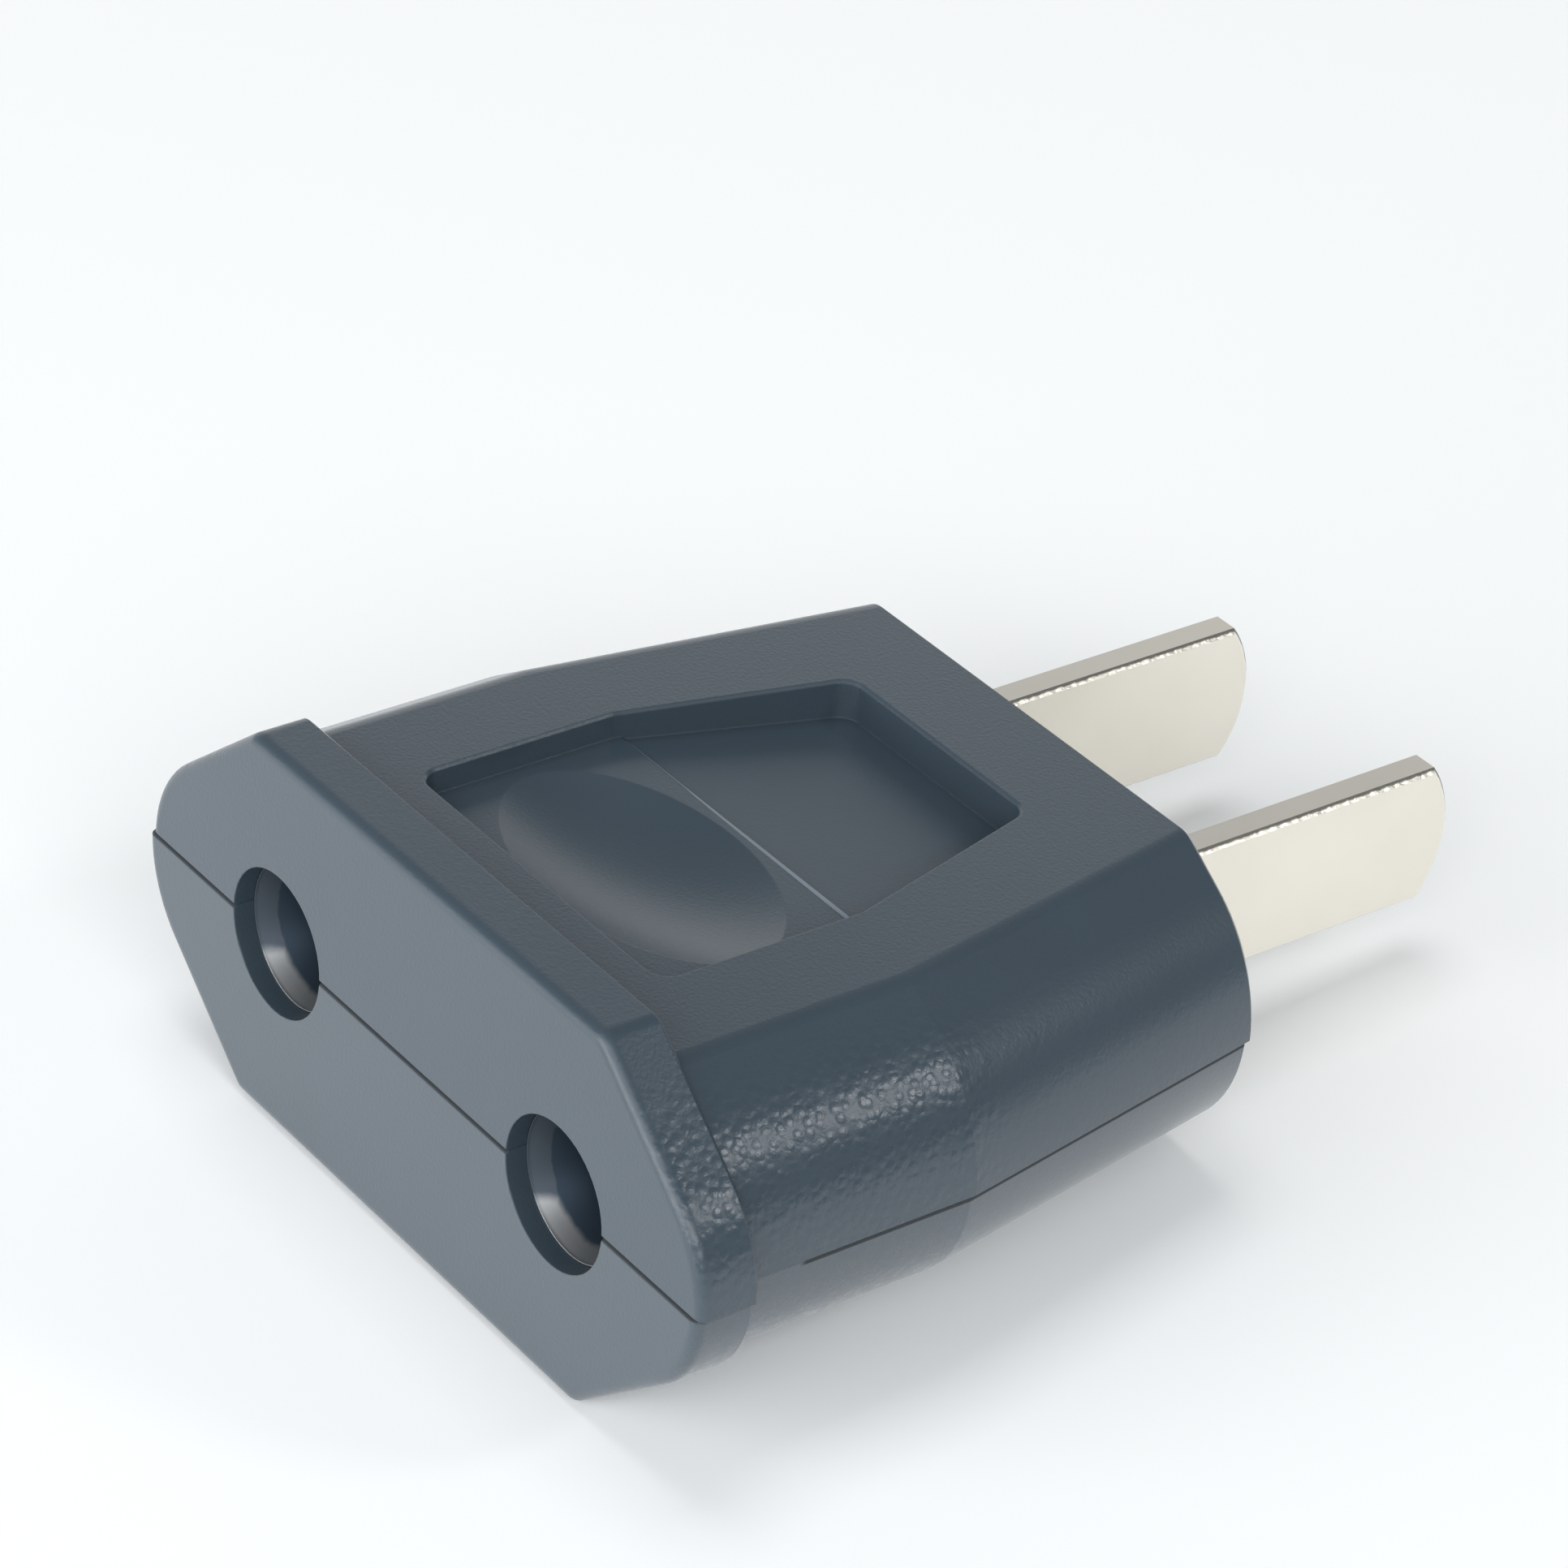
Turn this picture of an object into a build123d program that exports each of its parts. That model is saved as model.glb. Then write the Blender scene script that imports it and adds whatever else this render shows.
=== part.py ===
"""Travel adapter that lets a round-pin plug into a flat-blade wall outlet.

Two moulded shells meet on a flat seam and close around two contacts. Each contact is a flat
blade with a rolled spring sleeve riveted to its tail. A round pin enters through the flange,
slides into the sleeve and is carried through to the blade.

Frame: the origin is the middle of the socket face on the seam, +X runs along the row of pin
holes, +Y is the way a pin goes in, and +Z is up. The seam lies in the plane z = 0.
"""

import os
from math import hypot, radians, sin, tan

from build123d import *

# Mains interface, millimetres
pin_spacing = 19.0
pin_entry_diameter = 6.2
blade_spacing = 12.7
blade_width = 6.35
blade_thickness = 1.5
blade_reach = 17.1
blade_tip_rise = 1.1
blade_bevel = 0.2

# Housing, outside
body_length = 29.2
body_width = 35.2
body_height = 13.8
body_slant = 33.5
body_tip_radius = 6.6
body_crease_radius = 1.2
nose_width = 29.9
nose_edge_chamfer = 0.3
taper_start = 13.4
flange_width = 37.6
flange_height = 16.8
flange_thickness = 2.65
flange_slant = 39.6
flange_tip_radius = 5.4
flange_crease_radius = 0.8
flange_edge_chamfer = 0.2
face_edge_radius = 0.45
seam_chamfer = 0.12
seam_misfit = 0.25

# Recess in the upper face, with a thumb hollow in its floor
recess_start = 5.3
recess_taper_start = 14.5
recess_ridge = 14.9
recess_end = 24.4
recess_width = 16.2
recess_end_width = 11.2
recess_corner_radius = 0.9
recess_rim_chamfer = 0.12
recess_depth = 1.15
recess_end_depth = 1.75
ridge_step = 0.12
thumb_length = 14.8
thumb_width = 8.6
thumb_depth = 1.0
thumb_place = 10.2

# Contacts
sheet = 0.4
sleeve_bore = 4.0
sleeve_length = 11.5
sleeve_slit = 1.6
mouth_diameter = 5.8
mouth_length = 1.7
neck_width = 2.4
neck_overlap = 1.5
tang_width = 5.2
tang_setback = 0.5
joggle_length = 2.0
blade_tail = 6.0
shoulder_width = 8.0
shoulder_length = 1.9
rivet_diameter = 2.0
rivet_head_diameter = 3.6
rivet_crown_diameter = 2.4
rivet_head_height = 0.6

# Housing, inside
face_wall = 1.4
front_wall = 2.4
side_wall = 3.4
web_wall = 1.4
floor_wall = 1.6
rib_thickness = 1.2
rib_first = 5.4
rib_second = 10.2
core_start = 5.0
core_end = 23.4
peg_diameter = 1.6
peg_height = 1.6
fit = 0.05
bay_clearance = 0.2
cradle_clearance = 0.25
peg_bottoming = 0.3

# Places that follow from the sizes above
pin_x = pin_spacing / 2
blade_x = blade_spacing / 2
blade_outside = blade_x + blade_thickness / 2
blade_inside = blade_x - blade_thickness / 2
top = body_height / 2
sleeve_radius = sleeve_bore / 2 + sheet
sleeve_start = face_wall + fit
sleeve_end = sleeve_start + sleeve_length
shoulder_front = body_length - front_wall - fit
shoulder_back = shoulder_front - shoulder_length
bay_end = shoulder_back - fit
tail_end = shoulder_back - blade_tail
tang_end = bay_end - tang_setback
rivet_y = (tail_end + tang_end) / 2
blade_tip = body_length + blade_reach
bay_height = mouth_diameter / 2 + sheet + bay_clearance
bay_inner = blade_inside - rivet_head_height - bay_clearance
bay_outer = body_width / 2 - side_wall
nose_length = body_length - taper_start
nose_inset = (body_width - nose_width) / 2
nose_slant_length = hypot(nose_length, nose_inset)
bay_end_outer = bay_outer - nose_inset * (bay_end - taper_start) / nose_length
core_width = 2 * (bay_inner - web_wall)
core_height = top - recess_depth - thumb_depth - floor_wall
peg_spots = [(0, core_start / 2), (0, (bay_end + body_length) / 2)]


def section(y):
    """Returns the plane across the adapter at the distance y behind the socket face."""
    return Plane.XZ.offset(-y)


def housing_outline(width, height, slant, tip_radius, crease_radius):
    """Draws a cross-section of the housing: flat top and bottom, slanted sides and rounded tips."""
    angle = radians(slant)
    tip = width / 2 + tip_radius * (1 / sin(angle) - 1)
    flat = tip - height / 2 / tan(angle)
    upper = [(tip, 0), (flat, height / 2), (-flat, height / 2)]
    Polygon(*upper, *[(-x, -z) for x, z in upper], align=None)
    fillet(vertices().group_by(Axis.Y)[1], radius=tip_radius)
    fillet(vertices().group_by(Axis.Y)[0] + vertices().group_by(Axis.Y)[-1], radius=crease_radius)


def body_outline():
    """Draws the body's cross-section, as it is from the flange to the start of the taper."""
    housing_outline(body_width, body_height, body_slant, body_tip_radius, body_crease_radius)


# Nose: the body's section carried forward and inward from either side, kept where the two overlap
with BuildPart() as nose:
    with BuildSketch(section(taper_start)):
        body_outline()
    extrude(amount=nose_slant_length, dir=(-nose_inset, nose_length, 0))
    with BuildSketch(section(taper_start)):
        body_outline()
    extrude(amount=nose_slant_length, dir=(nose_inset, nose_length, 0), mode=Mode.INTERSECT)
    chamfer(nose.faces().sort_by(Axis.Y)[-1].edges(), length=nose_edge_chamfer)

# Outer form of both halves together
with BuildPart() as housing:
    with BuildSketch(section(0)):
        housing_outline(flange_width, flange_height, flange_slant, flange_tip_radius, flange_crease_radius)
    extrude(amount=-flange_thickness)
    fillet(housing.faces().sort_by(Axis.Y)[0].edges(), radius=face_edge_radius)
    chamfer(housing.faces().sort_by(Axis.Y)[-1].edges(), length=flange_edge_chamfer)
    with BuildSketch(section(face_edge_radius)):
        body_outline()
    extrude(amount=face_edge_radius - taper_start)
    add(nose.part)

# Space inside for the contacts, the same above and below the seam
with BuildPart() as cavity:
    with BuildSketch():
        with BuildLine():
            Polyline(
                (bay_inner, face_wall),
                (bay_outer, face_wall),
                (bay_outer, taper_start),
                (bay_end_outer, bay_end),
                (bay_inner, bay_end),
                close=True,
            )
        make_face()
        mirror(about=Plane.YZ)
    extrude(amount=bay_height, both=True)
    with BuildSketch():
        with Locations((0, rib_first), (0, rib_second)):
            Rectangle(body_width, rib_thickness)
    extrude(amount=bay_height, both=True, mode=Mode.SUBTRACT)
    with BuildSketch(section(face_wall)):
        with GridLocations(pin_spacing, 0, 2, 1):
            Circle(sleeve_radius + cradle_clearance)
    extrude(amount=face_wall - sleeve_end)
    with BuildSketch(section(0)):
        with GridLocations(pin_spacing, 0, 2, 1):
            Circle(pin_entry_diameter / 2)
    extrude(amount=-face_wall)
    with BuildSketch(section(body_length)):
        with GridLocations(blade_spacing, 0, 2, 1):
            Rectangle(blade_thickness + 2 * fit, blade_width + 2 * fit)
    extrude(amount=body_length - bay_end)
    with BuildSketch(section(shoulder_front + fit)):
        with GridLocations(blade_spacing, 0, 2, 1):
            Rectangle(blade_thickness + 2 * fit, shoulder_width + 2 * fit)
    extrude(amount=shoulder_length + 2 * fit)
    with BuildSketch():
        with Locations((0, (core_start + core_end) / 2)):
            Rectangle(core_width, core_end - core_start)
        with Locations((0, recess_ridge)):
            Rectangle(core_width, rib_thickness, mode=Mode.SUBTRACT)
    extrude(amount=core_height, both=True)

# Space of the recess: its plan cut straight down, and its floor in two levels
with BuildPart() as recess:
    with BuildSketch(Plane.XY.offset(top - recess_end_depth)):
        with BuildLine():
            Polyline(
                (0, recess_start),
                (recess_width / 2, recess_start),
                (recess_width / 2, recess_taper_start),
                (recess_end_width / 2, recess_end),
                (0, recess_end),
            )
            mirror(about=Plane.YZ)
        make_face()
        fillet(vertices().group_by(Axis.Y)[0] + vertices().group_by(Axis.Y)[-1], radius=recess_corner_radius)
    extrude(amount=recess_end_depth)
    with BuildSketch(Plane.YZ):
        with BuildLine():
            Polyline(
                (recess_start, top),
                (recess_start, top - recess_depth),
                (recess_ridge, top - recess_depth),
                (recess_ridge, top - recess_depth - ridge_step),
                (recess_end, top - recess_end_depth),
                (recess_end, top),
                close=True,
            )
        make_face()
    extrude(amount=recess_width / 2, both=True, mode=Mode.INTERSECT)

# Space of the thumb hollow: the slice of a barrel that hangs below the recess's rear floor
thumb_floor = top - recess_depth
barrel_axis = thumb_floor + (thumb_width**2 / 4 - thumb_depth**2) / (2 * thumb_depth)
with BuildPart() as thumb_bowl:
    with BuildSketch(section(thumb_place)):
        with BuildLine():
            Polyline(
                (-thumb_length / 2, thumb_floor),
                (-thumb_length / 2, barrel_axis),
                (thumb_length / 2, barrel_axis),
                (thumb_length / 2, thumb_floor),
            )
            ThreePointArc(
                (-thumb_length / 2, thumb_floor),
                (0, thumb_floor - thumb_depth),
                (thumb_length / 2, thumb_floor),
            )
        make_face()
    revolve(axis=Axis((0, thumb_place, barrel_axis), (1, 0, 0)))
    split(bisect_by=Plane.XY.offset(thumb_floor), keep=Keep.BOTTOM)

with BuildPart() as upper_shell:
    add(housing.part)
    split(bisect_by=Plane.XY, keep=Keep.TOP)
    chamfer(upper_shell.faces().sort_by(Axis.Z)[0].outer_wire().edges(), length=seam_chamfer)
    add(recess.part, mode=Mode.SUBTRACT)
    rim = upper_shell.edges(Select.LAST).group_by(Axis.Z)[-1]
    rim_reach = recess_width / 2 + recess_rim_chamfer
    chamfer(rim.filter_by_position(Axis.X, -rim_reach, rim_reach), length=recess_rim_chamfer)
    add(thumb_bowl.part, mode=Mode.SUBTRACT)
    add(cavity.part, mode=Mode.SUBTRACT)
    with BuildSketch():
        with Locations(*peg_spots):
            Circle(peg_diameter / 2 + fit)
    extrude(amount=peg_height + peg_bottoming, mode=Mode.SUBTRACT)
upper_shell.part.label = "upper_shell"

with BuildPart() as lower_shell:
    with Locations((-seam_misfit, 0, 0)):
        add(housing.part)
    split(bisect_by=Plane.XY, keep=Keep.BOTTOM)
    chamfer(lower_shell.faces().sort_by(Axis.Z)[-1].outer_wire().edges(), length=seam_chamfer)
    add(cavity.part, mode=Mode.SUBTRACT)
    with BuildSketch():
        with Locations(*peg_spots):
            Circle(peg_diameter / 2)
    extrude(amount=peg_height)
lower_shell.part.label = "lower_shell"

# Flat blade with a curved tip, shoulders that lock it in the shells, and a tail for the sleeve
with BuildPart() as right_blade:
    with BuildSketch(Plane.YZ.offset(blade_inside)):
        with BuildLine():
            Polyline(
                (blade_tip - blade_tip_rise, blade_width / 2),
                (shoulder_front, blade_width / 2),
                (shoulder_front, shoulder_width / 2),
                (shoulder_back, shoulder_width / 2),
                (shoulder_back, blade_width / 2),
                (tail_end, blade_width / 2),
                (tail_end, -blade_width / 2),
                (shoulder_back, -blade_width / 2),
                (shoulder_back, -shoulder_width / 2),
                (shoulder_front, -shoulder_width / 2),
                (shoulder_front, -blade_width / 2),
                (blade_tip - blade_tip_rise, -blade_width / 2),
            )
            ThreePointArc(
                (blade_tip - blade_tip_rise, blade_width / 2),
                (blade_tip, 0),
                (blade_tip - blade_tip_rise, -blade_width / 2),
            )
        make_face()
        with Locations((rivet_y, 0)):
            Circle(rivet_diameter / 2 + fit, mode=Mode.SUBTRACT)
    extrude(amount=blade_thickness)
    rims = right_blade.edges().filter_by(Axis.X, reverse=True)
    chamfer(rims.filter_by_position(Axis.Y, body_length, blade_tip), length=blade_bevel)
right_blade.part.label = "right_blade"

# Spring sleeve: one strip, rolled into a slit tube with a flared mouth, its flat tang on the blade
with BuildPart() as right_sleeve:
    with BuildSketch():
        with BuildLine():
            Polyline(
                (pin_x - sleeve_radius, sleeve_end - neck_overlap),
                (pin_x - sleeve_radius, sleeve_end),
                (blade_outside, sleeve_end + joggle_length),
                (blade_outside, tang_end),
                (blade_outside + sheet, tang_end),
                (blade_outside + sheet, sleeve_end + joggle_length),
                (pin_x - sleeve_radius + sheet, sleeve_end),
                (pin_x - sleeve_radius + sheet, sleeve_end - neck_overlap),
                close=True,
            )
        make_face()
    extrude(amount=tang_width / 2, both=True)
    with BuildSketch(Plane.YZ):
        with BuildLine():
            Polyline(
                (sleeve_end - neck_overlap, neck_width / 2),
                (sleeve_end, neck_width / 2),
                (sleeve_end + joggle_length, tang_width / 2),
                (tang_end, tang_width / 2),
                (tang_end, -tang_width / 2),
                (sleeve_end + joggle_length, -tang_width / 2),
                (sleeve_end, -neck_width / 2),
                (sleeve_end - neck_overlap, -neck_width / 2),
                close=True,
            )
        make_face()
        with Locations((rivet_y, 0)):
            Circle(rivet_diameter / 2 + fit, mode=Mode.SUBTRACT)
    extrude(amount=pin_x, mode=Mode.INTERSECT)
    with BuildSketch():
        with BuildLine():
            Polyline(
                (pin_x + mouth_diameter / 2, sleeve_start),
                (pin_x + mouth_diameter / 2 + sheet, sleeve_start),
                (pin_x + sleeve_radius, sleeve_start + mouth_length),
                (pin_x + sleeve_radius, sleeve_end),
                (pin_x + sleeve_radius - sheet, sleeve_end),
                (pin_x + sleeve_radius - sheet, sleeve_start + mouth_length),
                close=True,
            )
        make_face()
    revolve(axis=Axis((pin_x, 0, 0), (0, 1, 0)))
    with BuildSketch(Plane.YZ.offset(pin_x)):
        with Locations(((sleeve_start + sleeve_end) / 2, 0)):
            Rectangle(sleeve_length, sleeve_slit)
    extrude(amount=mouth_diameter, mode=Mode.SUBTRACT)
right_sleeve.part.label = "right_pin_sleeve"

# Rivet with a cone-shaped head on each side
with BuildPart() as right_rivet:
    with BuildSketch():
        with BuildLine():
            Polyline(
                (blade_inside - rivet_head_height, rivet_y),
                (blade_inside - rivet_head_height, rivet_y + rivet_crown_diameter / 2),
                (blade_inside, rivet_y + rivet_head_diameter / 2),
                (blade_inside, rivet_y + rivet_diameter / 2),
                (blade_outside + sheet, rivet_y + rivet_diameter / 2),
                (blade_outside + sheet, rivet_y + rivet_head_diameter / 2),
                (blade_outside + sheet + rivet_head_height, rivet_y + rivet_crown_diameter / 2),
                (blade_outside + sheet + rivet_head_height, rivet_y),
                close=True,
            )
        make_face()
    revolve(axis=Axis((0, rivet_y, 0), (1, 0, 0)))
right_rivet.part.label = "right_rivet"

# The left contact is the mirror image of the right one
with BuildPart() as left_blade:
    mirror(right_blade.part, about=Plane.YZ)
with BuildPart() as left_sleeve:
    mirror(right_sleeve.part, about=Plane.YZ)
with BuildPart() as left_rivet:
    mirror(right_rivet.part, about=Plane.YZ)

left_blade.part.label = "left_blade"
left_sleeve.part.label = "left_pin_sleeve"
left_rivet.part.label = "left_rivet"

os.makedirs("parts", exist_ok=True)
shells = [upper_shell, lower_shell]
contacts = [left_blade, left_sleeve, left_rivet, right_blade, right_sleeve, right_rivet]
for piece in shells + contacts:
    export_step(piece.part, f"parts/{piece.part.label}.step")
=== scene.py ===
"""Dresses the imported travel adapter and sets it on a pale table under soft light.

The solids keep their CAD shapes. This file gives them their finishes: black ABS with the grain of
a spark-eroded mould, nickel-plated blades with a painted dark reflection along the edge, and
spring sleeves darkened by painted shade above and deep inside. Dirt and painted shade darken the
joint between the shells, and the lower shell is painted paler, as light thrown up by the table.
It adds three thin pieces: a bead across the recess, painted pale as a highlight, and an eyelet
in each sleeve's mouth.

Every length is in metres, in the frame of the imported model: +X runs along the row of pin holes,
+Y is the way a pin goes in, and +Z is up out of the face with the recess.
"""

from __future__ import annotations

import logging
import math
from collections.abc import Mapping, Sequence
from dataclasses import dataclass
from enum import Enum

import bpy
import numpy as np
from mathutils import Matrix, Vector


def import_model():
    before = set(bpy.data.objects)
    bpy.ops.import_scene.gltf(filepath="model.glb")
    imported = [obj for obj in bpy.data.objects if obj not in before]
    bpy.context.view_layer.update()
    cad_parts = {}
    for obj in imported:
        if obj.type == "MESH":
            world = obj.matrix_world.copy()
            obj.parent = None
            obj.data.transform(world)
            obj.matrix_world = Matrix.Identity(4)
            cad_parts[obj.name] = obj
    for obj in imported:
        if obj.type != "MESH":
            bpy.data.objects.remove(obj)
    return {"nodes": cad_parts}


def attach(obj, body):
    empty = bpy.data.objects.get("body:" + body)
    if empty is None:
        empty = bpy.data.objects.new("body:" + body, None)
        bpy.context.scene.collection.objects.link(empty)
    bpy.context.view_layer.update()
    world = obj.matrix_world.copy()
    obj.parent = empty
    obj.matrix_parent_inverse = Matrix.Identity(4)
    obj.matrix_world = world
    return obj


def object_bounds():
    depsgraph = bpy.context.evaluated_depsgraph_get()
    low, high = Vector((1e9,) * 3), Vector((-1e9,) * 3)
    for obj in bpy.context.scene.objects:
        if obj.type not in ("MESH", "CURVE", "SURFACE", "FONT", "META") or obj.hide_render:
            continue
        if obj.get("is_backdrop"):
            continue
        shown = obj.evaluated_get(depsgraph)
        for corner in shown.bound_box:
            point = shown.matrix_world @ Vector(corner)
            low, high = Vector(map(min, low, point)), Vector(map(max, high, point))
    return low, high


LOG = logging.getLogger("travel_adapter")
MM = 0.001
NOISE_MIDDLE = 0.5

Colour = tuple[float, float, float, float]
Triple = tuple[float, float, float]
Socket = bpy.types.NodeSocket
Tree = bpy.types.NodeTree


class Side(Enum):
    """The two contacts of the adapter."""

    LEFT = "left"
    RIGHT = "right"

    @property
    def sign(self) -> int:
        """Gives the sign of x on this side."""
        return -1 if self is Side.LEFT else 1


def linear(hex_colour: str) -> Colour:
    """Turns an sRGB hex colour into linear red, green, blue and alpha by the sRGB curve.

    Args:
        hex_colour: Colour as "#RRGGBB".

    Returns:
        Linear components, with an alpha of one.
    """
    srgb = np.array([int(hex_colour[i : i + 2], 16) for i in (1, 3, 5)]) / 255
    low = srgb / 12.92
    high = ((srgb + 0.055) / 1.055) ** 2.4
    red, green, blue = np.where(srgb <= 0.04045, low, high).tolist()
    return red, green, blue, 1.0


def add_node(
    tree: Tree,
    kind: str,
    inputs: Mapping[str | int, object] | None = None,
    **settings: object,
) -> bpy.types.Node:
    """Adds one node with its settings, input values and links.

    Args:
        tree: Node tree that takes the node.
        kind: Blender's name of the node type.
        inputs: Value or source socket for each input, by the input's name or number.
        **settings: Attributes of the node itself, such as its operation.

    Returns:
        The new node.
    """
    node = tree.nodes.new(kind)
    for name, value in settings.items():
        setattr(node, name, value)
    for key, value in (inputs or {}).items():
        if isinstance(value, Socket):
            tree.links.new(value, node.inputs[key])
        else:
            node.inputs[key].default_value = value
    return node


def blank_material(name: str) -> tuple[bpy.types.Material, Tree]:
    """Makes a material with an empty node tree.

    Args:
        name: Name of the material.

    Returns:
        The material and its tree.
    """
    material = bpy.data.materials.new(name)
    material.use_nodes = True
    material.node_tree.nodes.clear()
    return material, material.node_tree


def ray_kinds(tree: Tree) -> tuple[Socket, Socket]:
    """Tells rays from the camera and rays from shiny pieces apart.

    Args:
        tree: Node tree that takes the nodes.

    Returns:
        A socket that is one for a camera ray, and one that is one for a glossy or transmitted ray.
    """
    ray = add_node(tree, "ShaderNodeLightPath")
    shiny = add_node(
        tree,
        "ShaderNodeMath",
        {0: ray.outputs["Is Glossy Ray"], 1: ray.outputs["Is Transmission Ray"]},
        operation="MAXIMUM",
    )
    return ray.outputs["Is Camera Ray"], shiny.outputs[0]


def smooth_object(name: str, points: np.ndarray, faces: list[list[int]]) -> bpy.types.Object:
    """Puts a smoothly shaded mesh into the scene.

    Args:
        name: Name of the object and of its mesh.
        points: Place of each vertex.
        faces: Vertex numbers of each face.

    Returns:
        The new object.
    """
    mesh = bpy.data.meshes.new(name)
    mesh.from_pydata(points.tolist(), [], faces)
    mesh.polygons.foreach_set("use_smooth", np.ones(len(mesh.polygons), dtype=bool))
    holder = bpy.data.objects.new(name, mesh)
    bpy.context.scene.collection.objects.link(holder)
    return holder


def dress_piece(piece: bpy.types.Object, material: bpy.types.Material) -> None:
    """Gives a piece its material, adds a slot for it where there is none, and logs it.

    Args:
        piece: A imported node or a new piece.
        material: Its finish.
    """
    if not piece.material_slots:
        piece.data.materials.append(material)
    piece.material_slots[0].material = material
    LOG.info("%s: %s", piece.name, material.name)


def direction(azimuth: float, elevation: float) -> Vector:
    """Gives the unit vector from the adapter to a place around it.

    Args:
        azimuth: Degrees from the front of the socket face towards +X.
        elevation: Degrees above the table.

    Returns:
        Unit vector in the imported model's frame.
    """
    turn = math.radians(azimuth)
    rise = math.radians(elevation)
    level = math.cos(rise)
    return Vector((math.sin(turn) * level, -math.cos(turn) * level, math.sin(rise)))


@dataclass(frozen=True)
class ShellSpot:
    """Sockets that say where a point of a shell lies and which way its surface faces.

    The depth is y and the level is z. Across and height are x and z without their signs. Wall and
    end are one where the surface leans to the side and where it faces along the pins.
    """

    here: Socket
    depth: Socket
    level: Socket
    across: Socket
    height: Socket
    wall: Socket
    end: Socket


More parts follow.
